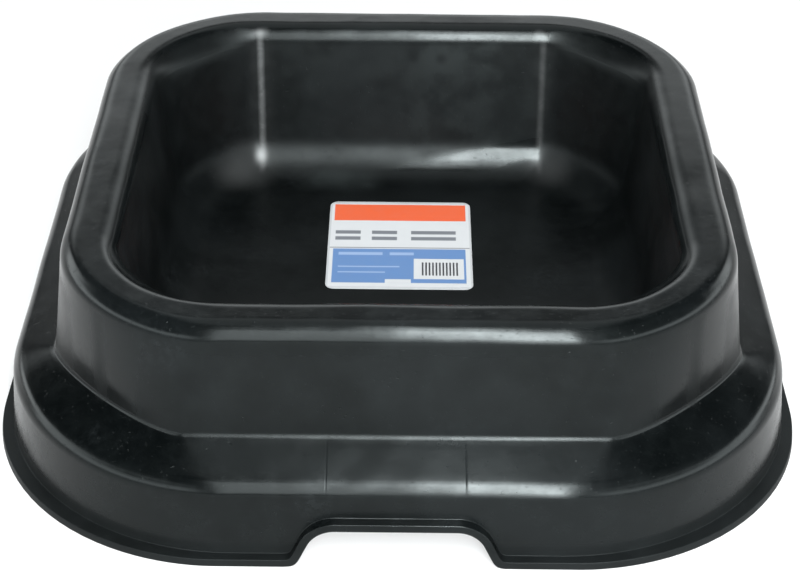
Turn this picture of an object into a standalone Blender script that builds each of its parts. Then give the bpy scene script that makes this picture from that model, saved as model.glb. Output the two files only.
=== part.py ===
"""Square feed pan moulded in rubber, with a paper label stuck on the bowl floor.

The pan is one moulding of nearly even wall. Its section runs from the flat bowl floor, up the
bowl wall, over a flat rim, down the upper skirt to a crease, out along a sloping shelf, down the
lower skirt and out again as a thin foot lip. Seen from above every level is a square, and the
corners change from level to level: round at the rim and the foot, cut almost straight across at
the bowl floor, up most of the bowl wall and at the crease. Two hand notches are cut through the
lower skirt, front and back, and the foot lip is carried round each of them.

Metres, +Z up. The pan stands on z = 0 with its centre on the Z axis; the front notch faces -Y.
"""
import math

import bmesh
import bpy
from mathutils import Vector

# Overall sizes
PAN_SIZE = 0.508            # across the foot lip, side to side
PAN_HEIGHT = 0.137          # floor under the pan to the top of the rim
WALL = 0.005                # thickness of the rubber

# Section of the pan, heights from the ground
BOWL_FLOOR_HEIGHT = 0.026   # top face of the bowl floor
CREASE_HEIGHT = 0.065       # foot of the upper skirt
SHELF_EDGE_HEIGHT = 0.050   # outer edge of the sloping shelf

# Section of the pan, distances measured level
LIP_WIDTH = 0.0062          # foot lip standing out from the lower skirt
LOWER_SKIRT_FLARE = 0.004   # lower skirt leaning out from the shelf edge down to the lip
SHELF_RUN = 0.031           # shelf, from the crease out to its edge
UPPER_SKIRT_FLARE = 0.0068  # upper skirt leaning out from the rim down to the crease
RIM_WIDTH = 0.0325          # rim, from the upper skirt in to the bowl
BOWL_WALL_DRAFT = 0.0135    # bowl wall leaning in from the rim down to the floor
BOWL_CREASE_DROP = 0.014    # below the rim, where the straight cut of the bowl's corners ends

# Bends between the faces of the section, radius on the upper side of the wall
FLOOR_BEND = 0.030
RIM_INNER_BEND = 0.011
RIM_OUTER_BEND = 0.012
CREASE_BEND = 0.004
SHELF_BEND = 0.013
LIP_BEND = 0.0025
LIP_ROUND = 0.0012          # rounding of the lip's own edges

# Corners seen from above: how much of each side the corner takes, and how full it is.
# A fullness of 0 is a straight cut, and 0.707 is a round corner.
FLOOR_CORNER, FLOOR_FULLNESS = 0.054, 0.30
BOWL_CREASE_CORNER, BOWL_CREASE_FULLNESS = 0.065, 0.31
RIM_INNER_CORNER, RIM_INNER_FULLNESS = 0.068, 0.64
RIM_OUTER_CORNER, RIM_OUTER_FULLNESS = 0.106, 0.70
CREASE_CORNER, CREASE_FULLNESS = 0.095, 0.33
SHELF_CORNER, SHELF_FULLNESS = 0.136, 0.62
FOOT_CORNER, FOOT_FULLNESS = 0.150, 0.69
CORNER_STEPS = 12

# Hand notches through the lower skirt, with the foot lip carried round them
NOTCH_WIDTH = 0.118         # at the ground
NOTCH_TOP_WIDTH = 0.094     # where the sides would meet the top without the rounding
NOTCH_HEIGHT = 0.0255
NOTCH_ROUND = 0.018
NOTCH_LIP = 0.0045          # thickness of the lip round the notch
NOTCH_LIP_STEP = 0.0006     # this lip stands out less far than the foot lip

# Label on the bowl floor
LABEL_WIDTH = 0.102
LABEL_LENGTH = 0.114
LABEL_ROUND = 0.006
LABEL_THICKNESS = 0.0004
LABEL_BACK = 0.048          # from the label's back edge to where floor and back wall would meet
LABEL_GAP = 0.0003

# Levels worked out from the sizes above
FOOT_HALF = PAN_SIZE / 2
SKIRT_FOOT_HALF = FOOT_HALF - LIP_WIDTH
SHELF_EDGE_HALF = SKIRT_FOOT_HALF - LOWER_SKIRT_FLARE
CREASE_HALF = SHELF_EDGE_HALF - SHELF_RUN
RIM_OUTER_HALF = CREASE_HALF - UPPER_SKIRT_FLARE
RIM_INNER_HALF = RIM_OUTER_HALF - RIM_WIDTH
BOWL_FLOOR_HALF = RIM_INNER_HALF - BOWL_WALL_DRAFT
BOWL_CREASE_HALF = RIM_INNER_HALF - BOWL_WALL_DRAFT * BOWL_CREASE_DROP / (PAN_HEIGHT - BOWL_FLOOR_HEIGHT)
LOWER_SKIRT_LEAN = math.atan(LOWER_SKIRT_FLARE / (SHELF_EDGE_HEIGHT - WALL))


def clear_scene():
    for old in list(bpy.data.objects):
        bpy.data.objects.remove(old, do_unlink=True)


def new_collection(name):
    group = bpy.data.collections.new(name)
    bpy.context.scene.collection.children.link(group)
    return group


def new_material(name, colour, roughness, metallic=0.0):
    material = bpy.data.materials.new(name)
    material.use_nodes = True
    shader = material.node_tree.nodes["Principled BSDF"]
    shader.inputs["Base Color"].default_value = (*colour, 1.0)
    shader.inputs["Roughness"].default_value = roughness
    shader.inputs["Metallic"].default_value = metallic
    return material


def black_rubber():
    return new_material("black_rubber", (0.017, 0.019, 0.020), 0.45)


def label_paper():
    return new_material("label_paper", (0.80, 0.80, 0.78), 0.50)


# Section of the pan

def section_levels():
    """The section's turning points from the floor outwards: half size, height, bend, corner, fullness."""
    return [
        (BOWL_FLOOR_HALF, BOWL_FLOOR_HEIGHT, FLOOR_BEND, FLOOR_CORNER, FLOOR_FULLNESS),
        (BOWL_CREASE_HALF, PAN_HEIGHT - BOWL_CREASE_DROP, 0.0, BOWL_CREASE_CORNER, BOWL_CREASE_FULLNESS),
        (RIM_INNER_HALF, PAN_HEIGHT, RIM_INNER_BEND, RIM_INNER_CORNER, RIM_INNER_FULLNESS),
        (RIM_OUTER_HALF, PAN_HEIGHT, RIM_OUTER_BEND, RIM_OUTER_CORNER, RIM_OUTER_FULLNESS),
        (CREASE_HALF, CREASE_HEIGHT, CREASE_BEND, CREASE_CORNER, CREASE_FULLNESS),
        (SHELF_EDGE_HALF, SHELF_EDGE_HEIGHT, SHELF_BEND, SHELF_CORNER, SHELF_FULLNESS),
        (SKIRT_FOOT_HALF, WALL, LIP_BEND, FOOT_CORNER, FOOT_FULLNESS),
        (FOOT_HALF, WALL, 0.0, FOOT_CORNER, FOOT_FULLNESS),
    ]


def bend_steps(radius, turn):
    """Flats in a bend: more of them in a wide bend than in a tight one."""
    return max(2, round(turn * math.sqrt(radius / 0.001) / 1.4))


def section_bend(before, level, after):
    """Points along the bend at one turning point, with the corner blended towards its neighbours."""
    if level[2] == 0.0:
        return [(level[0], level[1], level[3], level[4])]
    here = Vector(level[:2])
    back = Vector(before[:2]) - here
    ahead = Vector(after[:2]) - here
    turn = math.pi - back.angle(ahead)
    radius = level[2]
    reach = radius * math.tan(turn / 2)
    start = here + back.normalized() * reach
    centre = here + (back.normalized() + ahead.normalized()).normalized() * (radius / math.cos(turn / 2))
    arm = start - centre
    side = 1.0 if back.x * ahead.y - back.y * ahead.x < 0 else -1.0
    steps = bend_steps(radius, turn)
    points = []
    for i in range(steps + 1):
        angle = side * turn * i / steps
        cos, sin = math.cos(angle), math.sin(angle)
        at = centre + Vector((arm.x * cos - arm.y * sin, arm.x * sin + arm.y * cos))
        along = (2 * i / steps - 1) * reach
        other, length = (before, back.length) if along < 0 else (after, ahead.length)
        share = abs(along) / length
        corner = level[3] + (other[3] - level[3]) * share
        fullness = level[4] + (other[4] - level[4]) * share
        points.append((at.x, at.y, corner, fullness))
    return points


def pan_section():
    """Every level of the upper surface, from the edge of the flat floor out to the foot lip."""
    levels = section_levels()
    centre = (0.0, BOWL_FLOOR_HEIGHT, 0.0, FLOOR_CORNER, FLOOR_FULLNESS)
    rings = []
    for before, level, after in zip([centre] + levels, levels, levels[1:] + levels[-1:]):
        rings += section_bend(before, level, after)
    return rings


def quarter_outline(half, corner, fullness):
    """A quarter of a level from the +X side to the +Y side: flat, conic corner, flat."""
    flat = half - corner
    start, tip, end = Vector((half, flat)), Vector((half, half)), Vector((flat, half))
    points = [Vector((half, 0.0))]
    for i in range(CORNER_STEPS + 1):
        t = i / CORNER_STEPS
        a, b, c = (1 - t) ** 2, 2 * fullness * t * (1 - t), t ** 2
        points.append((start * a + tip * b + end * c) / (a + b + c))
    points.append(Vector((0.0, half)))
    return points


def loft_quarter(rings):
    """Upper surface of a quarter of the pan, open at the two mirror planes and at the foot."""
    mesh = bpy.data.meshes.new("pan_shell")
    bm = bmesh.new()
    rows = []
    for half, height, corner, fullness in rings:
        outline = quarter_outline(half, corner, fullness)
        rows.append([bm.verts.new((p.x, p.y, height)) for p in outline])
    middle = bm.verts.new((0.0, 0.0, rings[0][1]))
    bm.faces.new([middle] + rows[0])
    for inner, outer in zip(rows, rows[1:]):
        for i in range(len(inner) - 1):
            bm.faces.new((inner[i], outer[i], outer[i + 1], inner[i + 1]))
    bm.normal_update()
    bm.to_mesh(mesh)
    bm.free()
    return mesh


# Flat outlines

def rounded_corner(before, corner, after, radius, steps):
    """Points of a rounded corner between two straight edges of a flat outline."""
    back = (before - corner).normalized()
    ahead = (after - corner).normalized()
    turn = math.pi - back.angle(ahead)
    start = corner + back * radius * math.tan(turn / 2)
    centre = corner + (back + ahead).normalized() * (radius / math.cos(turn / 2))
    arm = start - centre
    side = 1.0 if back.x * ahead.y - back.y * ahead.x < 0 else -1.0
    points = []
    for i in range(steps + 1):
        angle = side * turn * i / steps
        cos, sin = math.cos(angle), math.sin(angle)
        points.append(centre + Vector((arm.x * cos - arm.y * sin, arm.x * sin + arm.y * cos)))
    return points


def slab(name, outline, thickness, collection):
    """A flat closed solid of one outline, centred on its own plane."""
    curve = bpy.data.curves.new(name, "CURVE")
    curve.dimensions = "2D"
    curve.fill_mode = "BOTH"
    curve.extrude = thickness / 2
    spline = curve.splines.new("POLY")
    spline.points.add(len(outline) - 1)
    for point, at in zip(spline.points, outline):
        point.co = (at.x, at.y, 0.0, 1.0)
    spline.use_cyclic_u = True
    source = bpy.data.objects.new(name + "_outline", curve)
    bpy.context.scene.collection.objects.link(source)
    evaluated = source.evaluated_get(bpy.context.evaluated_depsgraph_get())
    mesh = bpy.data.meshes.new_from_object(evaluated)
    mesh.name = name
    bpy.data.objects.remove(source, do_unlink=True)
    bm = bmesh.new()
    bm.from_mesh(mesh)
    bmesh.ops.remove_doubles(bm, verts=bm.verts, dist=0.00001)
    bmesh.ops.recalc_face_normals(bm, faces=bm.faces)
    bm.to_mesh(mesh)
    bm.free()
    thing = bpy.data.objects.new(name, mesh)
    collection.objects.link(thing)
    return thing


def notch_outline(grow, foot):
    """Arch of the hand notch, drawn in X and height from the foot up and grown outwards by grow."""
    lean = (NOTCH_WIDTH - NOTCH_TOP_WIDTH) / 2 / NOTCH_HEIGHT
    side = grow * math.hypot(1.0, lean)
    top = NOTCH_HEIGHT + grow
    foot_half = NOTCH_WIDTH / 2 + side - lean * foot
    top_half = NOTCH_WIDTH / 2 + side - lean * top
    feet = [Vector((foot_half, foot)), Vector((-foot_half, foot))]
    tops = [Vector((top_half, top)), Vector((-top_half, top))]
    radius = NOTCH_ROUND + grow
    right = rounded_corner(feet[0], tops[0], tops[1], radius, 6)
    left = rounded_corner(tops[0], tops[1], feet[1], radius, 6)
    return [feet[0]] + right + left + [feet[1]]


def stand_up(thing, y, lean):
    """Turns a slab drawn flat so that its outline stands in X and Z, with its top leaning towards +Y."""
    thing.rotation_euler = (math.pi / 2 - lean, 0.0, 0.0)
    thing.location = (0.0, y, 0.0)


def round_edges(thing, width):
    edges = thing.modifiers.new("round_edges", "BEVEL")
    edges.width = width
    edges.segments = 2
    edges.limit_method = "ANGLE"
    edges.angle_limit = math.radians(60)


def add_boolean(target, tool, operation):
    modifier = target.modifiers.new(operation.lower() + "_" + tool.name, "BOOLEAN")
    modifier.operation = operation
    modifier.object = tool
    tool.hide_render = True
    tool.display_type = "WIRE"


def make_hand_notch(shell, cutters, name, side):
    """Carries the foot lip round a notch, leaning with the skirt, and then cuts the notch through both."""
    bury = WALL / 2
    proud = LIP_WIDTH - NOTCH_LIP_STEP
    lip = slab(name + "_lip", notch_outline(NOTCH_LIP, bury), proud + bury, cutters)
    skirt_at_ground = SKIRT_FOOT_HALF + WALL * math.tan(LOWER_SKIRT_LEAN)
    middle = skirt_at_ground + (proud - bury) / 2 / math.cos(LOWER_SKIRT_LEAN)
    stand_up(lip, side * middle, -side * LOWER_SKIRT_LEAN)
    round_edges(lip, LIP_ROUND)
    add_boolean(shell, lip, "UNION")
    cut = slab(name, notch_outline(0.0, -WALL), 2 * (LIP_WIDTH + LOWER_SKIRT_FLARE + 2 * WALL), cutters)
    stand_up(cut, side * FOOT_HALF, 0.0)
    add_boolean(shell, cut, "DIFFERENCE")


def make_pan_shell(parts, cutters):
    mesh = loft_quarter(pan_section())
    shell = bpy.data.objects.new("pan_shell", mesh)
    parts.objects.link(shell)
    mirror = shell.modifiers.new("four_sides", "MIRROR")
    mirror.use_axis = (True, True, False)
    mirror.merge_threshold = 0.0001
    wall = shell.modifiers.new("wall", "SOLIDIFY")
    wall.thickness = WALL
    wall.offset = -1.0
    wall.use_even_offset = True
    wall.use_quality_normals = True
    round_edges(shell, LIP_ROUND)
    make_hand_notch(shell, cutters, "front_notch", -1)
    make_hand_notch(shell, cutters, "back_notch", 1)
    mesh.shade_smooth()
    mesh.materials.append(black_rubber())
    return shell


def make_floor_label(parts):
    half_x, half_y = LABEL_WIDTH / 2, LABEL_LENGTH / 2
    tips = [Vector(p) for p in ((half_x, -half_y), (half_x, half_y), (-half_x, half_y), (-half_x, -half_y))]
    outline = []
    for i, tip in enumerate(tips):
        outline += rounded_corner(tips[i - 1], tip, tips[(i + 1) % 4], LABEL_ROUND, 5)
    label = slab("floor_label", outline, LABEL_THICKNESS, parts)
    middle = BOWL_FLOOR_HALF - LABEL_BACK - half_y
    label.location = (0.0, middle, BOWL_FLOOR_HEIGHT + LABEL_GAP + LABEL_THICKNESS / 2)
    label.data.materials.append(label_paper())
    return label


def main():
    clear_scene()
    parts = new_collection("feed_pan")
    cutters = new_collection("feed_pan_cutters")
    make_pan_shell(parts, cutters)
    make_floor_label(parts)


main()
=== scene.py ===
# %% [markdown]
# A feed pan for livestock: one moulding of black rubber with a paper label stuck on the bowl floor.
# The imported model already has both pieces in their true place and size. This script gives them fine
# surfaces and finishes, and sets them on a pale floor under soft studio light.
# All lengths are in metres, with +Z up, the pan's centre on the Z axis and its front towards -Y.

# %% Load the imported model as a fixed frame
import math

import bpy
import numpy as np
from mathutils import Matrix, Vector


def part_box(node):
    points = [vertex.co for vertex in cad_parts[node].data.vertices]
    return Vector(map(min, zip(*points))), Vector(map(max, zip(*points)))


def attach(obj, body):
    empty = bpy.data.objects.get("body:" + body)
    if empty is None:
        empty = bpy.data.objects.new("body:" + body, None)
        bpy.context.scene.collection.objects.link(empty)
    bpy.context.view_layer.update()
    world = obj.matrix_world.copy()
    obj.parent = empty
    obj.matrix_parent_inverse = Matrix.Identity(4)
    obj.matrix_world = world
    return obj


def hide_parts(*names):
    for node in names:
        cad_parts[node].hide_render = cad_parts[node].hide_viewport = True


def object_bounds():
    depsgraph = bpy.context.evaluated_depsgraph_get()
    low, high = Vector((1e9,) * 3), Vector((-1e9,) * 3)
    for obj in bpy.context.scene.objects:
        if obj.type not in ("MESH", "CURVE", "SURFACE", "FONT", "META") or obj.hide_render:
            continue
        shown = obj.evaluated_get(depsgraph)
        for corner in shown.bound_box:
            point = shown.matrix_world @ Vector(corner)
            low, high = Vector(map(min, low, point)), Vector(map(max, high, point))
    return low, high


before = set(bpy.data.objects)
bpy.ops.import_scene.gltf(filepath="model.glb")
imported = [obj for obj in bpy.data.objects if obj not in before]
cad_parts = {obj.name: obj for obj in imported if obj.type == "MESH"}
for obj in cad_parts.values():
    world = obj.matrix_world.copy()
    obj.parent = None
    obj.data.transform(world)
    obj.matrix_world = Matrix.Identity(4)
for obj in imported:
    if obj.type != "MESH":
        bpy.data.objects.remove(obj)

cad_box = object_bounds()
pan_low, pan_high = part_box("pan_shell")
label_low, label_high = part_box("floor_label")
print("pan, m:", [round(v, 4) for v in pan_high - pan_low])
print("label, m:", [round(v, 4) for v in label_high - label_low])

# %% [markdown]
# The pan is a square dish with a stepped skirt. Cut through its middle, it shows one wall of even
# thickness that runs from the bowl floor up to the rim, down the upper skirt to a crease, out over a
# sloping shelf and down the lower skirt to a thin foot lip.
# It could be sculpted, or cut from a block. A loft is nearer to how the mould was drawn: a list of
# levels, each a square with its own corner, and a smooth bend where two faces of the section meet.

# %% Sizes of the section
FOOT_HALF = pan_high.x              # foot lip, from the centre out
PAN_HEIGHT = pan_high.z
WALL = 0.005
BOWL_FLOOR_HEIGHT = 0.026
CREASE_HEIGHT = 0.065
SHELF_EDGE_HEIGHT = 0.050
LIP_WIDTH = 0.0062                  # foot lip standing out from the skirt
LOWER_DRAFT = 0.004                 # lower skirt leaning out from the shelf edge to the foot
SHELF_RUN = 0.031                   # sloping shelf, seen from above
UPPER_DRAFT = 0.0068                # upper skirt leaning out from the rim to the crease
RIM_WIDTH = 0.0325
BOWL_DRAFT = 0.0135                 # bowl wall leaning in from the rim to the floor
CREASE_DROP = 0.014                 # the bowl's corner creases fade this far below the rim

SKIRT_FOOT_HALF = FOOT_HALF - LIP_WIDTH
SHELF_EDGE_HALF = SKIRT_FOOT_HALF - LOWER_DRAFT
CREASE_HALF = SHELF_EDGE_HALF - SHELF_RUN
RIM_OUTER_HALF = CREASE_HALF - UPPER_DRAFT
RIM_INNER_HALF = RIM_OUTER_HALF - RIM_WIDTH
BOWL_FLOOR_HALF = RIM_INNER_HALF - BOWL_DRAFT
BOWL_CREASE_HALF = RIM_INNER_HALF - BOWL_DRAFT * CREASE_DROP / (PAN_HEIGHT - BOWL_FLOOR_HEIGHT)
print("rim, from the centre out, mm:", round(RIM_INNER_HALF * 1000, 1), round(RIM_OUTER_HALF * 1000, 1))

# %% [markdown]
# Each level has a half size, a height, the radius of its bend, and the length and fullness of its
# corner. A fullness of 0 is a straight cut across the corner, and 0.707 is a round one. On the real pan
# the corners are cut at the bowl floor and at the crease, and round at the rim and at the foot.

# %% Levels of the loft
LEVELS = np.array([
    (BOWL_FLOOR_HALF, BOWL_FLOOR_HEIGHT, 0.030, 0.054, 0.30),
    (BOWL_CREASE_HALF, PAN_HEIGHT - CREASE_DROP, 0.0, 0.065, 0.31),
    (RIM_INNER_HALF, PAN_HEIGHT, 0.0125, 0.068, 0.64),
    (RIM_OUTER_HALF, PAN_HEIGHT, 0.012, 0.106, 0.70),
    (CREASE_HALF, CREASE_HEIGHT, 0.004, 0.088, 0.23),
    (SHELF_EDGE_HALF, SHELF_EDGE_HEIGHT, 0.013, 0.147, 0.68),
    (SKIRT_FOOT_HALF, WALL, 0.0, 0.150, 0.69),
])
BEND_ROWS = (14, 1, 11, 11, 7, 11)  # rows of faces in each bend
FACE_ROWS = (9, 3, 6, 10, 7)        # rows on the straight face that follows it
print("levels:", len(LEVELS), "wall, mm:", WALL * 1000)

# %% [markdown]
# A bend replaces the sharp turn at a level by an arc that touches both faces. The corner's length and
# fullness are blended along with it, so a corner can be cut straight at the bowl floor and be round at
# the rim without a step in between.

# %% Rows round a bend
def bend_rows(before, level, after, rows):
    """Rows round one bend: half size, height, corner length and fullness."""
    here, back, ahead = level[:2], before[:2] - level[:2], after[:2] - level[:2]
    back_length, ahead_length = np.linalg.norm(back), np.linalg.norm(ahead)
    back, ahead = back / back_length, ahead / ahead_length
    if level[2] == 0:
        return [np.array((*here, *level[3:]))]
    turn = math.pi - math.acos(np.clip(back @ ahead, -1, 1))
    touch = level[2] * math.tan(turn / 2)
    middle = (back + ahead) / np.linalg.norm(back + ahead)
    centre = here + middle * level[2] / math.cos(turn / 2)
    arm = here + back * touch - centre
    side = 1 if back[0] * ahead[1] - back[1] * ahead[0] < 0 else -1
    found = []
    for i in range(rows + 1):
        angle = side * turn * i / rows
        cos, sin = math.cos(angle), math.sin(angle)
        at = centre + (arm[0] * cos - arm[1] * sin, arm[0] * sin + arm[1] * cos)
        along = (2 * i / rows - 1) * touch
        other, length = (before, back_length) if along < 0 else (after, ahead_length)
        corner = level[3:] + (other[3:] - level[3:]) * abs(along) / length
        found.append(np.array((*at, *corner)))
    return found


print("rows in the rim's outer bend:", len(bend_rows(*LEVELS[2:5], BEND_ROWS[3])))

# %% Rows of the whole section
def section_rows():
    """Every row of the upper surface, from the edge of the flat floor to the end of the shelf bend."""
    centre = np.array((0, BOWL_FLOOR_HEIGHT, 0, *LEVELS[0][3:]))
    rows = []
    for i, steps in enumerate(BEND_ROWS):
        before = LEVELS[i - 1] if i else centre
        bend = bend_rows(before, LEVELS[i], LEVELS[i + 1], steps)
        if rows:
            start, end, count = rows[-1], bend[0], FACE_ROWS[i - 1]
            rows += [start + (end - start) * k / count for k in range(1, count)]
        rows += bend
    return np.array(rows)


upper = section_rows()
print("rows from the floor to the shelf edge:", len(upper))

# %% [markdown]
# The hand notch is an arch through the lower skirt, and the foot lip runs up and round it. A cut with
# a Boolean would leave a hard edge and long thin faces. Here the mesh's own columns follow the arch:
# the arch is drawn once as a path, and a copy of it at any distance is the same path moved outwards.
# Far above the arch the columns stand straight again, evenly spaced along the skirt.

# %% Sizes of the hand notch
NOTCH_HALF = 0.059                  # at the ground
NOTCH_HEIGHT = 0.0255
NOTCH_ROUND = 0.018
NOTCH_LEAN = 0.012 / NOTCH_HEIGHT   # sideways run of the notch's side for each metre up
NOTCH_ZONE = 0.075                  # the columns inside this follow the arch
LIP_ZONE = 0.009                    # the lip's rows run at a fixed distance from the edge, up to here
STRAIGHT_HEIGHT = 0.042             # and the rows are level again from here

SIDE_LENGTH = math.hypot(1, NOTCH_LEAN)
SIDE_ANGLE = math.atan(NOTCH_LEAN)
ARC_HEIGHT = NOTCH_HEIGHT - NOTCH_ROUND
ARC_CENTRE = np.array((NOTCH_HALF - NOTCH_LEAN * ARC_HEIGHT - NOTCH_ROUND * SIDE_LENGTH, ARC_HEIGHT))
print("centre of the notch's round, mm:", np.round(ARC_CENTRE * 1000, 2))

# %% The arch and its offset paths
def arch_path(part, distance):
    """Point of the arch moved out by distance: part 0-1 top, 1-2 round, 2-3 side, 3-4 along the ground."""
    radius = NOTCH_ROUND + distance
    round_end = ARC_CENTRE + radius * np.array((math.cos(SIDE_ANGLE), math.sin(SIDE_ANGLE)))
    side_end = np.array((NOTCH_HALF + distance * SIDE_LENGTH - NOTCH_LEAN * distance, distance))
    ground_end = np.array((NOTCH_ZONE, distance))
    if part <= 1:
        return np.array((ARC_CENTRE[0] * part, NOTCH_HEIGHT + distance))
    if part <= 2:
        angle = math.pi / 2 - (math.pi / 2 - SIDE_ANGLE) * (part - 1)
        return ARC_CENTRE + radius * np.array((math.cos(angle), math.sin(angle)))
    if part <= 3:
        return round_end + (side_end - round_end) * (part - 2)
    return side_end + (ground_end - side_end) * (part - 3)


def piece_lengths(distance):
    """Lengths of the four pieces of the moved arch."""
    ends = [arch_path(p, distance) for p in range(5)]
    lengths = [np.linalg.norm(b - a) for a, b in zip(ends, ends[1:])]
    lengths[1] = (NOTCH_ROUND + distance) * (math.pi / 2 - SIDE_ANGLE)
    return np.array(lengths)


PIECE_STARTS = np.concatenate([[0], np.cumsum(piece_lengths(LIP_ZONE))])
print("arch length at the lip zone's edge, mm:", np.round(PIECE_STARTS * 1000, 1))

# %% [markdown]
# One quarter of the pan is enough, because the other three are its mirror images. The front edge has a
# column of faces every 1.25 mm over the notch, wider ones up to the corner, close ones round it and wide
# ones along the side. Three more stand where the witness line of a mould insert crosses the shelf.

# %% Columns of one quarter
INSERT_HALF = 0.0408                # mould insert in the front shelf, from the centre out
INSERT_LINE = 0.0007                # half width of the line that it leaves
NOTCH_COLUMNS = 61
FLAT_STEPS, CORNER_STEPS, SIDE_STEPS = 4, 30, 14
CROWDING = 0.12                     # draws the columns together towards the corner's two ends
line_x = INSERT_HALF + INSERT_LINE * np.array((-1, 0, 1))
front_x = np.union1d(np.linspace(0, NOTCH_ZONE, NOTCH_COLUMNS), line_x)


def corner_outline(half, corner, fullness):
    """One quarter's outline beyond the notch zone: flat front, corner, flat side, as x and y rows."""
    flat = half - corner
    t = np.linspace(0, 1, CORNER_STEPS + 1)
    t = t - CROWDING * np.sin(2 * math.pi * t) / math.pi
    a, b, c = (1 - t) ** 2, 2 * fullness * t * (1 - t), t ** 2
    total = a + b + c
    corner_x = (flat * a + half * b + half * c) / total
    corner_y = (half * a + half * b + flat * c) / total
    front = NOTCH_ZONE + (flat - NOTCH_ZONE) * np.arange(1, FLAT_STEPS) / FLAT_STEPS
    side_y = flat * (1 - np.arange(1, SIDE_STEPS + 1) / SIDE_STEPS)
    x = np.concatenate([front, corner_x, np.full(SIDE_STEPS, half)])
    y = np.concatenate([np.full(FLAT_STEPS - 1, half), corner_y, side_y])
    return x, -y


def level_row(half, height, corner, fullness):
    """One level row of the quarter, from the middle of the front to the middle of the right side."""
    x, y = corner_outline(half, corner, fullness)
    x = np.concatenate([front_x, x])
    y = np.concatenate([np.full(len(front_x), -half), y])
    return np.stack([x, y, np.full(len(x), height)], 1)


rows_up = [level_row(*row) for row in upper]
print("columns in a quarter:", len(rows_up[0]))

# %% [markdown]
# The bowl floor is flat, so its rows are the first row drawn smaller and smaller towards the centre.

# %% Floor rows
FLOOR_ROWS = 12
floor_rows = [rows_up[0] * (k / FLOOR_ROWS, k / FLOOR_ROWS, 1) for k in range(1, FLOOR_ROWS)]
print("floor rows:", len(floor_rows))

# %% [markdown]
# The foot lip turns out from the skirt with a small fillet, has rounded edges and a flat underside, and
# turns back up inside with a wide round that is concentric with the fillet, so that the wall stays even.
# Its section is drawn as distance from the edge and stand-out from the skirt, which serves along the
# ground and round the arch alike.

# %% Section of the foot lip
LIP_BEND = 0.0004
LIP_ROUND = 0.0005


def arc(centre, radius, start, end, steps):
    """Points of an arc as (stand-out, distance from the edge), angles in degrees from straight out."""
    angles = np.radians(np.linspace(start, end, steps + 1))
    return [(centre[0] + radius * math.cos(a), centre[1] + radius * math.sin(a)) for a in angles]


bend_centre = (LIP_BEND, WALL + LIP_BEND)
outer_lip = [(0.0, LIP_ZONE)]
outer_lip += arc(bend_centre, LIP_BEND, 180, 270, 5)
outer_lip += arc((LIP_WIDTH - LIP_ROUND, WALL - LIP_ROUND), LIP_ROUND, 90, 0, 4)
inner_lip = arc((LIP_WIDTH - LIP_ROUND, LIP_ROUND), LIP_ROUND, 0, -90, 4)
inner_lip += arc(bend_centre, LIP_BEND + WALL, 270, 180, 7)
print("lip rows:", len(outer_lip), "outside,", len(inner_lip), "underneath")

# %% [markdown]
# A row near the foot is level at the corners and sides and follows the arch in the notch zone. The
# skirt leans, so the row's distance out is worked out point by point from its height.

# %% Rows round the foot
LOWER_RISE = SHELF_EDGE_HEIGHT - WALL
SKIRT_FLARE = (SKIRT_FOOT_HALF - SHELF_EDGE_HALF) / LOWER_RISE
BLEND_ROWS = 9                      # from the level rows down to those that follow the arch


def skirt_half(height):
    """Half size of the lower skirt at a height."""
    return SHELF_EDGE_HALF + (SHELF_EDGE_HEIGHT - height) * SKIRT_FLARE


def part_at(x):
    """Place on the arch, 0 to 4, of the column that stands at x above it."""
    return np.interp(x / NOTCH_ZONE * PIECE_STARTS[-1], PIECE_STARTS, np.arange(5))


def corner_at(height):
    """Corner length and fullness of the lower skirt at a height, blended as on the other faces."""
    share = np.clip((SHELF_EDGE_HEIGHT - height) / LOWER_RISE, 0, 1)
    return LEVELS[5][3:] + (LEVELS[6][3:] - LEVELS[5][3:]) * share


def foot_row(out, distance, follow=1.0):
    """A row at a distance from the edge, standing out from the skirt; follow 0 is a level row."""
    level = STRAIGHT_HEIGHT + (distance - STRAIGHT_HEIGHT) * follow
    x, y = corner_outline(skirt_half(level) + out, *corner_at(level))
    beyond = np.stack([x, y, np.full(len(x), level)], 1)
    near_arch = np.array([arch_path(part_at(v), distance) for v in front_x])
    straight = np.stack([front_x, np.full(len(front_x), STRAIGHT_HEIGHT)], 1)
    near_arch = straight + (near_arch - straight) * follow
    along, height = near_arch[:, 0], near_arch[:, 1]
    front = np.stack([along, -(skirt_half(height) + out), height], 1)
    return np.concatenate([front, beyond])


skirt_rows = [foot_row(0.0, LIP_ZONE, k / BLEND_ROWS) for k in range(BLEND_ROWS)]
outer_rows = [foot_row(out, distance) for out, distance in outer_lip]
under_rows = [foot_row(out, distance) for out, distance in inner_lip]
print("skirt rows:", len(skirt_rows), "foot rows:", len(outer_rows) + len(under_rows))

# %% [markdown]
# Now the quarter becomes a whole ring: each row runs on through its mirror images at the right, back
# and left. The back of the pan gets the same notch as the front in this way.

# %% From a quarter to the whole ring
def whole(rows):
    """Rows of one quarter, mirrored into closed rings: front right, back right, back left, front left."""
    quarter = np.array(rows)
    back = quarter[:, ::-1][:, 1:] * (1, -1, 1)
    right = np.concatenate([quarter, back], 1)
    left = right[:, ::-1][:, 1:-1] * (-1, 1, 1)
    return np.concatenate([right, left], 1)


outside = whole(floor_rows + rows_up + skirt_rows + outer_rows)
under_lip = whole(under_rows)
print("outside rows and columns:", outside.shape[:2])

# %% [markdown]
# Where the notch meets the ground the paths have a sharp mitre. A mould cutter leaves that corner a
# little round, so the points near it are averaged with their neighbours a few times.

# %% Soften the notch's feet
MITRE_X = NOTCH_HALF + 0.002
MITRE_SOFT = 0.006                  # the softening fades out over this distance
MITRE_FULL = 0.5                    # and has its full strength up to this share of it
SOFTEN_PASSES = 5
LOWER_SKIRT_FROM = SHELF_EDGE_HALF - 0.001


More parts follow.
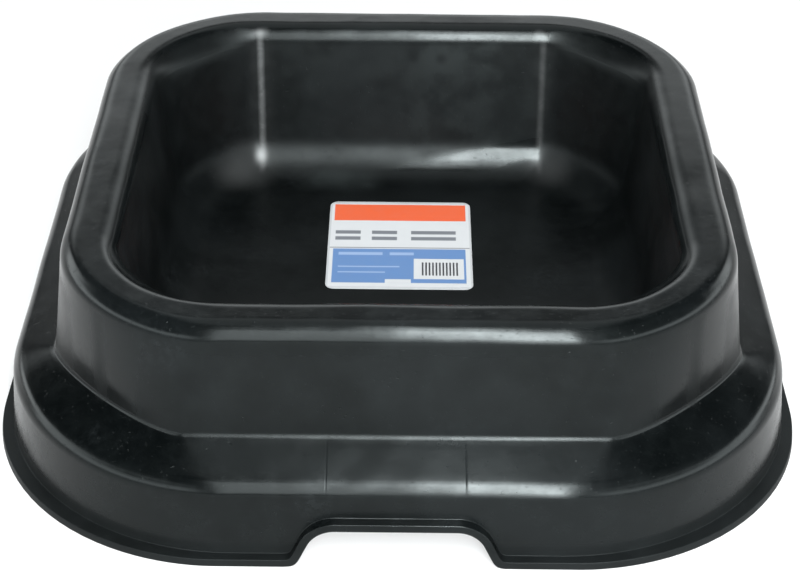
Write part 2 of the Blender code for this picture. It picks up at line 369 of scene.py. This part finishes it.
def soften(rows):
    """Averages each point with its neighbours along the row, near the notch's feet only."""
    away = np.hypot(np.abs(rows[..., 0]) - MITRE_X, rows[..., 2]) / MITRE_SOFT
    on_lower_skirt = np.abs(rows[..., 1]) > LOWER_SKIRT_FROM
    weight = (np.clip(1 + MITRE_FULL - away, 0, 1) * on_lower_skirt)[..., None]
    for _ in range(SOFTEN_PASSES):
        mean = (np.roll(rows, 1, 1) + 2 * rows + np.roll(rows, -1, 1)) / 4
        rows = rows + (mean - rows) * weight
    return rows


outside, under_lip = soften(outside), soften(under_lip)
print("lowest point, mm:", round(float(under_lip[..., 2].min()) * 1000, 3))

# %% [markdown]
# The inside is the outside moved in by the wall thickness, along each point's own normal. Solidify
# would do it too, but here the lip's underside is already drawn, and the two have to meet. The inside
# is hardly ever seen, so it keeps only every second row.

# %% Normals and the inner surface
def normals_of(rows):
    """Normals of a closed ring of rows, from the run of each point's neighbours."""
    along = np.roll(rows, -1, 1) - np.roll(rows, 1, 1)
    across = np.gradient(rows, axis=0)
    n = np.cross(along, across)
    return n / np.maximum(np.linalg.norm(n, axis=2, keepdims=True), 1e-12)


normals = normals_of(outside)
if normals[0, 0, 2] < 0:
    normals = -normals
keep = range(0, len(outside) - len(outer_rows), 2)
inside = (outside - normals * WALL)[keep][::-1]
print("inside rows:", len(inside), "first row's height, mm:", round(float(inside[0, 0, 2]) * 1000, 2))

# %% [markdown]
# Rubber leaves the mould a little uneven, and the pan is never quite flat again: the highlights along
# its edges wander by a fraction of a millimetre. A few long waves, added along the normals, do that.

# %% Unevenness
WAVES = (  # height and length in mm, direction, phase
    (0.16, 190, (0.9, 0.3, 0.3), 0.4),
    (0.12, 120, (-0.4, 0.9, 0.2), 1.9),
    (0.08, 74, (0.8, -0.5, 0.4), 3.1),
    (0.05, 41, (0.3, 0.8, -0.5), 5.0),
    (0.03, 23, (-0.7, 0.4, 0.6), 2.2),
)
SWAY = (31, 23)                     # radians a metre along X and Y, so that no wave is quite straight


def unevenness(points):
    """How far each point stands proud or shy of the true form, in metres."""
    total = np.zeros(points.shape[:-1])
    for height, length, direction, phase in WAVES:
        heading = np.array(direction) / np.linalg.norm(direction)
        place = points @ heading * (2 * math.pi * 1000 / length)
        sway = np.sin(points[..., 0] * SWAY[0] + points[..., 1] * SWAY[1] + phase)
        total += height / 1000 * np.sin(place + phase + sway)
    return total


proud = unevenness(outside)
outside_bent = outside + normals * proud[..., None]
inside_bent = inside + normals[keep][::-1] * unevenness(inside)[..., None]
print("unevenness, mm:", np.round(np.array([proud.min(), proud.max()]) * 1000, 2))

# %% [markdown]
# In the front of the shelf the mould has a separate insert plate for the maker's marking. The marking
# itself is left off, but the plate's outline stays: it stands a hair proud, with a fine line at each
# side. The line is shallower at the left, where it hardly shows on the real pan.

# %% Witness lines of the mould insert
INSERT_PROUD = 0.00012
LINE_DEPTH = 0.00011
LEFT_DEPTH = 0.6                    # share of that depth at the left
INSERT_GAP = 0.001                  # the plate ends this far from the crease
INSERT_FRONT = 0.009                # and this far below the shelf's edge
across_insert, height = np.abs(outside[..., 0]), outside[..., 2]
on_shelf = (height > SHELF_EDGE_HEIGHT - INSERT_FRONT) & (height < CREASE_HEIGHT - INSERT_GAP)
on_shelf &= outside[..., 1] < -CREASE_HALF - INSERT_GAP
plate = on_shelf & (across_insert < INSERT_HALF - INSERT_LINE / 2)
on_line = on_shelf & (np.abs(across_insert - INSERT_HALF) < INSERT_LINE / 2)
step_out = np.where(plate, INSERT_PROUD, 0.0)
step_out[on_line] = -LINE_DEPTH * np.where(outside[..., 0] < 0, LEFT_DEPTH, 1.0)[on_line]
outside_bent += normals * step_out[..., None]
print("points on the insert:", int(plate.sum()), "on its lines:", int(on_line.sum()))

# %% [markdown]
# The rows become one closed mesh: outside, lip and inside follow each other, and a fan closes the
# middle of the floor at either end. The size may not grow, so whatever the waves would push out of the
# frame's box is held at it.

# %% Build the pan's mesh
def ring_faces(rows, columns, first, last):
    """Faces between closed rings of points, with a fan to a middle point at either end."""
    following = [(c + 1) % columns for c in range(columns)]
    faces = [(first, c, n) for c, n in enumerate(following)]
    for start in range(0, (rows - 1) * columns, columns):
        faces += [(start + c, start + columns + c, start + columns + n, start + n)
                  for c, n in enumerate(following)]
    end = (rows - 1) * columns
    faces += [(last, end + n, end + c) for c, n in enumerate(following)]
    return faces


def new_piece(name, points, faces):
    """A smooth mesh object in the scene."""
    mesh = bpy.data.meshes.new(name)
    mesh.from_pydata(points.tolist(), [], faces)
    mesh.validate()
    mesh.shade_smooth()
    piece = bpy.data.objects.new(name, mesh)
    bpy.context.scene.collection.objects.link(piece)
    return piece


rings = np.concatenate([outside_bent, under_lip, inside_bent])
rings = np.clip(rings, list(cad_box[0]), list(cad_box[1]))
middles = [(0, 0, BOWL_FLOOR_HEIGHT), (0, 0, BOWL_FLOOR_HEIGHT - WALL)]
pan_points = np.concatenate([rings.reshape(-1, 3), middles])
pan_faces = ring_faces(rings.shape[0], rings.shape[1], len(pan_points) - 2, len(pan_points) - 1)
pan_moulding = new_piece("pan_moulding", pan_points, pan_faces)
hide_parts("pan_shell")
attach(pan_moulding, "root")
print("pan moulding:", len(pan_points), "points,", len(pan_faces), "faces")

# %% [markdown]
# Finishes are drawn with shader nodes. Written out one by one, the arithmetic nodes hide the idea, so a
# small class wraps a socket: adding, multiplying and the like on it make the Math nodes. Every other
# node comes from one method, which sets the node's own settings first and then its sockets.

# %% Shader sockets as values
class Wire:
    """A socket of a finish, which can be used in sums."""

    def __init__(self, tree, socket=None):
        self.tree = tree
        self.socket = socket

    def node(self, kind, settings=None, values=None, output=0):
        """Adds a node; settings go to the node, values or links to its sockets by name or number."""
        made = self.tree.nodes.new(kind)
        for key, value in (settings or {}).items():
            setattr(made, key, value)
        for key, value in (values or {}).items():
            if isinstance(value, Wire):
                self.tree.links.new(value.socket, made.inputs[key])
            else:
                made.inputs[key].default_value = value
        return Wire(self.tree, made.outputs[output] if len(made.outputs) else None)

    def math(self, operation, *others):
        """This value and others through a Math node."""
        values = dict(enumerate((self, *others)))
        return self.node("ShaderNodeMath", {"operation": operation}, values)

    def __add__(self, other):
        return self.math("ADD", other)

    __radd__ = __add__

    def __mul__(self, other):
        return self.math("MULTIPLY", other)

    __rmul__ = __mul__

    def __sub__(self, other):
        return self.math("SUBTRACT", other)

    def __rsub__(self, other):
        return (self * -1) + other

    def limited(self):
        """The value, held between 0 and 1."""
        return self.math("MAXIMUM", 0.0).math("MINIMUM", 1.0)

    def step(self, low, high):
        """Smooth rise from 0 at low to 1 at high, or a fall where low is the greater."""
        settings = {"interpolation_type": "SMOOTHSTEP"}
        return self.node("ShaderNodeMapRange", settings, {"Value": self, "From Min": low, "From Max": high})

    def between(self, low, full, still, high):
        """1 from full to still, fading to 0 at low and at high."""
        return self.step(low, full) * self.step(high, still)

    def mix(self, a, b):
        """Colour a where this value is 0, and b where it is 1."""
        a, b = (v if isinstance(v, Wire) else (*v, 1) for v in (a, b))
        return self.node("ShaderNodeMix", {"data_type": "RGBA"}, {0: self, 6: a, 7: b}, 2)

    def outputs(self, *names):
        """Other outputs of this wire's node."""
        return [Wire(self.tree, self.socket.node.outputs[n]) for n in names]

    def parts(self):
        """The three numbers of a vector."""
        return self.node("ShaderNodeSeparateXYZ", None, {0: self}).outputs(0, 1, 2)


print("shader class ready")

# %% Helpers for a finish
OBJECT_PLACE = 3                    # output of Texture Coordinate: the point in the object's own metres
DIRECTION = 0                       # and in the world, the direction that is looked in


def new_finish(name):
    """A new material, the wire to build on and its Principled shader."""
    material = bpy.data.materials.new(name)
    material.use_nodes = True
    tree = material.node_tree
    return material, Wire(tree), tree.nodes["Principled BSDF"]


def feed(shader, **sockets):
    """Puts values or wires on the shader's sockets; an underscore in a name stands for a space."""
    for key, value in sockets.items():
        socket = shader.inputs[key.replace("_", " ")]
        if isinstance(value, Wire):
            value.tree.links.new(value.socket, socket)
        else:
            socket.default_value = value


def noise(place, scale, detail, rough=0.5, twist=0.0):
    """Cloudy noise from 0 to 1, with scale in features a metre."""
    values = {"Vector": place, "Scale": scale, "Detail": detail, "Roughness": rough, "Distortion": twist}
    return place.node("ShaderNodeTexNoise", None, values)


def relief(height):
    """A bump from a height in metres."""
    return height.node("ShaderNodeBump", None, {"Strength": 1.0, "Distance": 1.0, "Height": height})


print("helpers ready, finishes so far:", len(bpy.data.materials))

# %% [markdown]
# Moulded black rubber with a satin skin. It looks black, but no two places shine alike: release agent
# and handling leave soft clouds that are duller or glossier, a little dust greys the flat faces, and
# small pits break the highlights. A picture of rubber stretched over the pan could show all that, but
# it would blur near by and slide at the corners. Noise worked out from the place has no seams.

# %% Rubber: clouds, dust and pits
rubber, wire, rubber_shader = new_finish("moulded_black_rubber")
place = wire.node("ShaderNodeTexCoord", output=OBJECT_PLACE)
clouds = noise(place, 38, 4, 0.6).step(0.35, 0.68)
patches = noise(place, 95, 3, 0.6, 0.4).step(0.42, 0.66)
dust = noise(place, 17, 5, 0.62).step(0.52, 0.74) * noise(place, 240, 3, 0.7).step(0.40, 0.66)
film = noise(place, 11, 2).step(0.46, 0.64)
specks = noise(place, 620, 1, 0.4).step(0.70, 0.76)
pits = noise(place, 480, 1, 0.4).step(0.72, 0.77)

RUBBER_DARK = (0.0009, 0.0013, 0.0014)
RUBBER_PALE = (0.0020, 0.0027, 0.0028)
RUBBER_DUST = (0.011, 0.013, 0.014)
colour = (clouds * 0.6 + patches * 0.4).mix(RUBBER_DARK, RUBBER_PALE)
colour = (dust * 0.32 + specks * 0.22).limited().mix(colour, RUBBER_DUST)
colour = (film * 0.18).mix(colour, RUBBER_DUST)
print("rubber nodes for clouds and dust:", len(rubber.node_tree.nodes))

# %% [markdown]
# Some painted highlights and reflections belong to one place, such as a wall or a crease. A place is a
# mask: 1 on it and 0 elsewhere, with a soft edge. Two kinds of mask do: fades along a direction, whose
# limits are in metres from the pan's centre or above the ground, and round spots about a point.

# %% Rubber: masks of places
from_middle_x, from_middle_y, high = place.parts()
to_side, to_end = from_middle_x.math("ABSOLUTE"), from_middle_y.math("ABSOLUTE")


def near(at, radius):
    """1 at a place, fading to 0 at a radius from it."""
    settings, values = {"operation": "DISTANCE"}, {0: place, 1: at}
    return wire.node("ShaderNodeVectorMath", settings, values, output=1).step(radius, 0.0)


def spots(rows):
    """A sum of round spots, each with its place, radius and strength."""
    return sum(near(at, radius) * strength for at, radius, strength in rows)


print("mask helpers ready")

# %% [markdown]
# The bowl's back wall, between its two creases, is painted a patchy pale grey: a painted reflection of
# the lamps. There is more of it at the right and under the rim, and a few round spots leave it out.

# %% Rubber: painted reflection on the back wall
# pale grey: painted reflection on the back wall, and the pale patch on the bowl floor
RUBBER_PALE_GREY = (0.012, 0.0145, 0.0145)
# round spots where the painted reflection is left out
REFLECTION_GAPS = (
    ((-0.0190, 0.169, 0.094), 0.0060, 1.0),
    ((-0.0110, 0.169, 0.094), 0.0055, 1.0),
    ((0.0220, 0.167, 0.066), 0.0060, 1.0),
    ((0.0290, 0.171, 0.114), 0.0065, 1.0),
    ((0.0076, 0.171, 0.116), 0.0085, 1.0),
    ((0.0074, 0.172, 0.126), 0.0080, 1.0),
)
wall_height = high.between(0.030, 0.050, 0.122, 0.132)
bowl_wall = to_side.step(0.180, 0.172) * to_end.between(0.125, 0.160, 0.172, 0.180) * wall_height
flat_of_wall = bowl_wall * to_side.step(0.116, 0.085)
more_right = from_middle_x.step(-0.03, 0.03) * 0.36 + 0.19
under_rim = high.step(0.096, 0.118) * from_middle_x.step(0.005, 0.020) * 0.5 + 1
patchy = noise(place, 30, 4, 0.62, 0.15).step(0.40, 0.62) * 0.85 + 0.15
# painted reflection: the flat of the back wall is painted paler, more at the right and under the rim
painted_reflection = flat_of_wall * more_right * under_rim * patchy
painted_reflection = painted_reflection * (1 - spots(REFLECTION_GAPS).limited() * 0.9)
colour = painted_reflection.mix(colour, RUBBER_PALE_GREY)
print("rubber nodes with the bloom:", len(rubber.node_tree.nodes))

# %% [markdown]
# Along the two creases of the back wall a pale line is painted: a painted highlight, stronger at the
# left, with a soft painted glow beside each crease's foot. Where a crease ends a brighter painted highlight
# makes a star. A lamp mirrored in a crease would slide along it as the view turns; painted, it stays.

# %% Rubber: painted highlights in the creases and at their ends
# greys of the painted highlights along the creases and at their ends
CREASE_HIGHLIGHT_GREY = (0.100, 0.103, 0.103)
STAR_HIGHLIGHT_GREY = (0.34, 0.35, 0.35)
CREASE_X = 0.1036
CREASE_GLOW_SPOTS = (
    ((-0.116, 0.151, 0.029), 0.030, 0.22),
    ((-0.130, 0.141, 0.027), 0.024, 0.14),
    ((0.114, 0.153, 0.029), 0.026, 0.18),
)
STAR_SPOTS = (
    ((-0.1010, 0.1726, 0.1335), 0.0095, 0.64),
    ((-0.1078, 0.1712, 0.1335), 0.0095, 0.62),
    ((0.1000, 0.1726, 0.1335), 0.0095, 0.65),
    ((-0.1049, 0.1558, 0.0350), 0.0115, 0.68),
    ((-0.1046, 0.1592, 0.0430), 0.0115, 0.66),
    ((0.1010, 0.1570, 0.0374), 0.0110, 0.5),
)
off_crease = (to_side - CREASE_X).math("ABSOLUTE")
on_crease = off_crease.step(0.0037, 0.0) * 0.72 + off_crease.step(0.014, 0.0) * 0.07
on_crease = on_crease * high.between(0.028, 0.036, 0.128, 0.136)
on_crease = on_crease * from_middle_y.between(0.142, 0.152, 0.177, 0.182)
more_left = from_middle_x.step(0.02, -0.02) * 0.6 + 0.4
# painted highlight along each crease, stronger at the left, and a painted glow by its foot
painted_crease_light = on_crease * more_left * (patches * 0.3 + 0.7) + spots(CREASE_GLOW_SPOTS)
colour = painted_crease_light.limited().mix(colour, CREASE_HIGHLIGHT_GREY)
# painted highlights where the creases end
painted_stars = spots(STAR_SPOTS)
colour = (painted_stars * painted_stars * painted_stars).limited().mix(colour, STAR_HIGHLIGHT_GREY)
print("rubber nodes with the creases:", len(rubber.node_tree.nodes))

# %% [markdown]
# A pale patch lies on the bowl floor, at the left of the back wall's foot.

# %% Rubber: pale patch on the floor
pale_patch = from_middle_x.between(-0.084, -0.060, -0.028, -0.008) * high.step(0.034, 0.028)
pale_patch = pale_patch * from_middle_y.between(0.124, 0.138, 0.146, 0.160)
colour = (pale_patch * (clouds * 0.5 + 0.5)).mix(colour, RUBBER_PALE_GREY)
print("rubber nodes with the smear:", len(rubber.node_tree.nodes))

# %% [markdown]
# How dull the skin is makes more of the look than its colour, as black rubber shows little but
# reflections. The rim and the shelf have a satin gloss. The skirts and the lip are duller, and so is
# the whole bowl, but for a gleaming patch along the right half of the back wall's foot. The patch
# starts on a slant and gets narrower towards the crease.

# %% Rubber: dull and glossy places
SATIN = 0.17
beyond_rim = 1 - to_side.step(0.200, 0.194) * to_end.step(0.200, 0.194)
upper_skirt = beyond_rim * high.between(0.062, 0.068, 0.116, 0.124)
lower_skirt = beyond_rim * high.step(0.046, 0.040)
lip = beyond_rim * high.step(0.014, 0.008)

back_corners = to_side.step(0.104, 0.112) * from_middle_y.step(0.02, 0.10)
below_rim = high.step(0.130, 0.123).math("MAXIMUM", back_corners * high.step(0.137, 0.130))
bowl = to_side.step(0.184, 0.176) * to_end.step(0.184, 0.176) * below_rim

GLEAM_SLANT = 5.0                   # the patch starts this much further right for each metre up
slanting = from_middle_x - (high - 0.030) * GLEAM_SLANT + 0.018
narrower = from_middle_x.step(0.058, 0.100) * 0.0065
gleam = slanting.step(-0.018, 0.018) * from_middle_x.step(0.105, 0.103) * from_middle_y.step(0.118, 0.128)
gleam = gleam * high.step(0.062, 0.050) * (high - narrower).step(0.0285, 0.0325)

dull_bowl = bowl * (1 - gleam) * (high.step(0.0265, 0.0300) * 0.10 + 0.13)
roughness = clouds * 0.04 + patches * 0.03 + dust * 0.06 + SATIN
roughness = roughness + upper_skirt * 0.13 + lower_skirt * 0.06 + lip * 0.30 + dull_bowl
print("rubber nodes with the gloss:", len(rubber.node_tree.nodes))

# %% [markdown]
# A gentle ripple and a fine grain bend the reflections, and the pits are small hollows. They are far too
# small for the mesh, so a bump draws them. Rubber mirrors less than most plastics, and its reflections
# are a little cold: both are the same all over, so they are set on the shader itself.

# %% Rubber: relief and shader
RIPPLE_DEPTH, GRAIN_DEPTH, PIT_DEPTH, DUST_DEPTH = 0.00009, 0.00001, 0.00008, 0.00001
ripple, grain = noise(place, 70, 2), noise(place, 1500, 2, 0.6)
height = ripple * RIPPLE_DEPTH + grain * GRAIN_DEPTH - pits * PIT_DEPTH + dust * DUST_DEPTH
feed(rubber_shader, Base_Color=colour, Roughness=roughness, Normal=relief(height),
     Specular_IOR_Level=0.19, Specular_Tint=(0.92, 1.0, 1.0, 1))
pan_moulding.data.materials.append(rubber)
print("rubber nodes:", len(rubber.node_tree.nodes))

# %% [markdown]
# The label is a coated paper sheet with rounded corners, stuck on the floor. It lies almost flat, with
# the slight waves of paper stuck on rubber. It is a stack of shrinking outlines, like the bowl floor,
# with a thin edge and a flat back.

# %% Outline of the label
LABEL_ROUND = 0.006
CORNER_POINTS = 7
SIDE_POINTS = 12
label_centre = (label_low + label_high) / 2
label_half = (label_high - label_low) / 2


def label_outline(inset):
    """Rounded rectangle round the label's centre, moved in by inset."""
    half_x, half_y, radius = label_half.x - inset, label_half.y - inset, LABEL_ROUND - inset / 2
    found = []
    for side_x, side_y, first in ((1, 1, 0), (-1, 1, 90), (-1, -1, 180), (1, -1, 270)):
        middle = np.array((side_x * (half_x - radius), side_y * (half_y - radius)))
        for a in np.radians(first + np.linspace(0, 90, CORNER_POINTS)):
            found.append(middle + radius * np.array((math.cos(a), math.sin(a))))
        start, end = found[-1], found[-1].copy()
        axis = 0 if side_x == side_y else 1
        end[axis] = -start[axis]
        found += [start + (end - start) * k / SIDE_POINTS for k in range(1, SIDE_POINTS)]
    return np.array(found)


outline = label_outline(0.0)
print("label outline:", len(outline), "points")

# %% Label sheet
LABEL_RINGS = 16                    # from the centre out to the edge
BACK_RINGS = 3
LABEL_WAVE = 0.00008                # depth of the paper's waves
WAVES_ACROSS, WAVES_ALONG = 95, 70  # and their number, in radians a metre
EDGE_ROUND = 0.0001                 # the top's rounding, down the edge
EDGE_INSET = 0.0002                 # and in from it
top = label_half.z


def label_ring(line, height):
    """A closed line of points at a height."""
    return np.column_stack([line, np.full(len(line), height)])


top_line = label_outline(EDGE_INSET)
label_rings = [label_ring(top_line * (k / LABEL_RINGS), top) for k in range(1, LABEL_RINGS + 1)]
label_rings += [label_ring(outline, top - EDGE_ROUND), label_ring(outline, -top)]
label_rings += [label_ring(outline * (k / BACK_RINGS), -top) for k in range(BACK_RINGS - 1, 0, -1)]
label_rings = np.array(label_rings)
wave = np.sin(label_rings[..., 0] * WAVES_ACROSS + 1.0) * np.sin(label_rings[..., 1] * WAVES_ALONG + 0.5)
label_rings[:LABEL_RINGS, :, 2] -= LABEL_WAVE * (0.5 + 0.5 * wave[:LABEL_RINGS])

middles = [(0, 0, top - LABEL_WAVE / 2), (0, 0, -top)]
label_points = np.concatenate([label_rings.reshape(-1, 3), middles]) + np.array(label_centre)
label_faces = ring_faces(len(label_rings), len(outline), len(label_points) - 2, len(label_points) - 1)
label_sheet = new_piece("label_sheet", label_points, label_faces)
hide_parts("floor_label")
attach(label_sheet, "root")
print("label:", len(label_points), "points,", len(label_faces), "faces")

# %% [markdown]
# The print on the label: a pale border, an orange band along the back, a white strip with plain grey
# bars, and a blue field in front with a white panel of plain upright bars. Nothing on it can be read.
# Each field is a rectangle in millimetres, from the label's middle across and from its front edge
# back, and is painted over those before it.

# %% Fields of the print
paper, wire, paper_shader = new_finish("printed_label")
place = wire.node("ShaderNodeTexCoord", output=OBJECT_PLACE)
x, y, _ = place.parts()
across = (x - label_centre.x) * 1000
depth = (y - label_low.y) * 1000
SOFT_EDGE = 0.25
BAR_PITCH = 2.4
upright = (across * (1 / BAR_PITCH)).math("FRACT").step(0.42, 0.58)

BORDER = (0.50, 0.51, 0.52)
WHITE = (0.60, 0.61, 0.62)
ORANGE = (0.72, 0.105, 0.028)
BLUE = (0.105, 0.215, 0.44)
PALE_BLUE = (0.28, 0.39, 0.60)
GREY = (0.16, 0.17, 0.19)
INK = (0.03, 0.03, 0.035)
FIELDS = [  # left, right, front, back, strength, colour
    (-49.5, 49.5, 3.0, 111.0, 1.0, WHITE),
    (-47.5, 47.5, 88.0, 110.0, 1.0, ORANGE),
    (-47.0, 46.5, 7.5, 50.5, 1.0, BLUE),
    (-49.5, 49.5, 51.5, 52.6, 0.7, INK),
]
FIELDS += [(left, right, front, back, 1.0, GREY)
           for left, right in ((-46.0, -28.0), (-20.0, -2.0), (8.0, 40.0))
           for front, back in ((62.0, 66.5), (70.0, 74.5))]
FIELDS += [
    (-43.0, -12.0, 42.5, 46.0, 1.0, PALE_BLUE),
    (-7.0, 10.0, 42.5, 46.0, 1.0, PALE_BLUE),
    (-43.0, 0.0, 27.0, 28.5, 1.0, PALE_BLUE),
    (-43.0, -10.0, 20.0, 21.5, 1.0, PALE_BLUE),
    (10.0, 45.0, 12.5, 38.0, 1.0, WHITE),
    (15.0, 41.0, 17.0, 33.5, upright, INK),
    (-10.0, 8.0, 7.5, 12.0, 1.0, WHITE),
]
print("fields on the label:", len(FIELDS))

# %% [markdown]
# Coated paper is smoother than rubber, and not quite even: a faint mottle dirties the print and varies
# its gloss, and the fibres give it a very shallow tooth.

# %% Label finish
PAPER_GREY = (0.35, 0.36, 0.38)
FIBRE_DEPTH = 0.000006


def band(value, low, high):
    """1 between low and high, with a soft edge."""
    return value.between(low - SOFT_EDGE, low + SOFT_EDGE, high - SOFT_EDGE, high + SOFT_EDGE)


print_colour = BORDER
for left, right, front, back, strength, paint in FIELDS:
    field = band(across, left, right) * band(depth, front, back) * strength
    print_colour = field.mix(print_colour, paint)
mottle, fibre = noise(place, 160, 3), noise(place, 900, 2)
print_colour = (mottle * 0.10).mix(print_colour, PAPER_GREY)
feed(paper_shader, Base_Color=print_colour, Roughness=mottle * 0.15 + 0.35,
     Normal=relief(fibre * FIBRE_DEPTH))
label_sheet.data.materials.append(paper)
print("label nodes:", len(paper.node_tree.nodes))

# %% [markdown]
# The studio is a plain pale floor that runs out of sight. The camera, and anything shiny, sees it as
# white, and the lamps still lay the pan's soft shadow on it. More light would also turn it white, but
# would wash out the pan, so the floor glows by itself, and only for those rays.

# %% Floor
FLOOR_SIZE = 14.0
FLOOR_DROP = 0.0002                 # just under the pan's foot
FLOOR_PAINT = (0.40, 0.40, 0.40, 1)
FLOOR_GLOW = 0.50


def kinds_of_ray(wire):
    """1 for the rays that come from the camera, from a glossy surface and from a clear one."""
    names = ("Is Camera Ray", "Is Glossy Ray", "Is Transmission Ray")
    return wire.node("ShaderNodeLightPath").outputs(*names)


far = FLOOR_SIZE / 2
corners = np.array([(x, y, -FLOOR_DROP) for x, y in ((-far, -far), (far, -far), (far, far), (-far, far))])
studio_floor = new_piece("studio_floor", corners, [(0, 1, 2, 3)])
floor_paint, wire, floor_shader = new_finish("pale_floor")
glow = sum(kinds_of_ray(wire)).limited().mix((0, 0, 0), (1, 1, 1))
feed(floor_shader, Base_Color=FLOOR_PAINT, Roughness=0.9, Specular_IOR_Level=0.0,
     Emission_Color=glow, Emission_Strength=FLOOR_GLOW)
studio_floor.data.materials.append(floor_paint)
print("floor, m:", FLOOR_SIZE, "square")

# %% [markdown]
# What black rubber shows is its room. A pale sweep stands behind the pan, and the flat rim mirrors it. A
# strip of light ceiling greys the front of the shelf, bright low walls at both sides draw the bends at
# the corners, and the front is dim. The room is drawn in the world, as brightness by direction: a sine
# of 1 is straight up, straight behind or straight to the right. The camera sees white, and so does
# whatever mirrors the horizon.

# %% Room
SWEEP = 2.25
CEILING = 1.4
SIDE_WALLS = 4.4
FRONT = 0.30
ROOM = 0.07                         # everywhere else
ROOM_LIGHT = (0.95, 0.99, 1.0, 1)
world = bpy.data.worlds.new("studio")
world.use_nodes = True
bpy.context.scene.world = world
world.node_tree.nodes.clear()
wire = Wire(world.node_tree)
side, ahead, rise = wire.node("ShaderNodeTexCoord", output=DIRECTION).parts()
off_side = side.math("ABSOLUTE")
toward_front = off_side - ahead.math("MINIMUM", 0.0) * 0.4
sweep = rise.between(0.06, 0.30, 0.36, 0.60) * off_side.step(0.66, 0.30) * ahead.step(0.30, 0.62)
ceiling = off_side.step(0.36, 0.20) * rise.step(0.55, 0.80) * ahead.step(-0.25, 0.0)
side_walls = toward_front.step(0.62, 0.80) * rise.between(0.05, 0.16, 0.30, 0.42)
front = ahead.step(0.10, -0.50) * (side.step(-0.6, 0.6) * 0.8 + 0.4) * rise.step(1.0, 0.7)
level = (sweep * SWEEP).math("MAXIMUM", ceiling * CEILING) + side_walls * SIDE_WALLS + front * FRONT + ROOM

by_camera, by_gloss, by_glass = kinds_of_ray(wire)
white = (by_camera + (by_gloss + by_glass) * rise.step(0.10, 0.03)).limited()
level = level * (1 - white) + white
background = wire.node("ShaderNodeBackground", None, {"Color": ROOM_LIGHT, "Strength": level})
wire.node("ShaderNodeOutputWorld", None, {0: background})
print("room nodes:", len(world.node_tree.nodes))

# %% [markdown]
# The key light is a tall narrow soft box in front, a little to the right. It draws the bright lines
# along the edges and the gleam at the foot of the back wall. Its brightness fades towards its ends, so
# it is built of three boxes, each shorter and brighter than the last. Two wide and dim boxes at the
# left fill in. Each box is placed by the angles at which the back wall's foot sees its ends.

# %% Soft boxes
LIGHT_DISTANCE = 1.5
AIM_Y, AIM_Z = 0.157, 0.04          # the fillet at the foot of the bowl's back wall
COOL = (0.96, 0.99, 1.0)
BOXES = (  # name, x, lower and upper angle in degrees, width, brightness, turn in degrees
    ("key_box_1", 0.13, 0, 76, 0.15, 13.5, 4.0),
    ("key_box_2", 0.13, 8, 66, 0.15, 21.0, 4.0),
    ("key_box_3", 0.13, 16, 52, 0.15, 30.0, 4.0),
    ("fill_box", -0.17, 4, 66, 0.34, 1.6, 0.0),
    ("low_fill_box", -0.17, 6, 50, 0.34, 4.2, 0.0),
)


def soft_box(name, x, low, high, width, brightness, turn):
    """An area light in front of the pan, which faces the foot of the back wall."""
    middle, spread = math.radians((low + high) / 2), math.radians((high - low) / 2)
    height = 2 * LIGHT_DISTANCE * math.tan(spread)
    light = bpy.data.lights.new(name, "AREA")
    light.shape = "RECTANGLE"
    light.size, light.size_y = width, height
    light.energy = brightness * math.pi * width * height
    light.color = COOL
    box = bpy.data.objects.new(name, light)
    towards = Vector((0, math.cos(middle), -math.sin(middle)))
    box.location = Vector((x, AIM_Y, AIM_Z)) - towards * LIGHT_DISTANCE
    facing = towards.to_track_quat("-Z", "Y").to_matrix() @ Matrix.Rotation(math.radians(turn), 3, "Z")
    box.rotation_euler = facing.to_euler()
    box.visible_camera = False
    bpy.context.scene.collection.objects.link(box)


for row in BOXES:
    soft_box(*row)

# %% [markdown]
# The camera stands where the photographer stood: in front, a little over a metre away, looking down at
# about a third of a right angle. Its place was fitted to the pan's own edges. The scene is shown with
# the plain Standard transform, so that a colour renders as it is written.

# %% Camera
PHOTO_WIDTH = 800
FOCAL_PIXELS = 1931.0
SENSOR_WIDTH = 36.0
PITCH, ROLL, YAW = math.radians(34.14), math.radians(-0.49), math.radians(-0.14)
DISTANCE = 1.327
TARGET = Vector((0.0006, 0.0, 0.0245))
back = Vector((0, -math.cos(PITCH), math.sin(PITCH)))
level_right, level_up = Vector((1, 0, 0)), Vector((0, math.sin(PITCH), math.cos(PITCH)))
right = level_right * math.cos(ROLL) - level_up * math.sin(ROLL)
up = level_right * math.sin(ROLL) + level_up * math.cos(ROLL)
stand = Matrix((right, up, back)).transposed().to_4x4()
stand.translation = TARGET + back * DISTANCE
camera = bpy.data.objects.new("camera", bpy.data.cameras.new("camera"))
camera.data.sensor_width = SENSOR_WIDTH
camera.data.lens = FOCAL_PIXELS / PHOTO_WIDTH * SENSOR_WIDTH
camera.matrix_world = Matrix.Rotation(-YAW, 4, "Z") @ stand
bpy.context.scene.collection.objects.link(camera)
bpy.context.scene.camera = camera
bpy.context.scene.view_settings.view_transform = "Standard"
print("lens, mm:", round(camera.data.lens, 1))
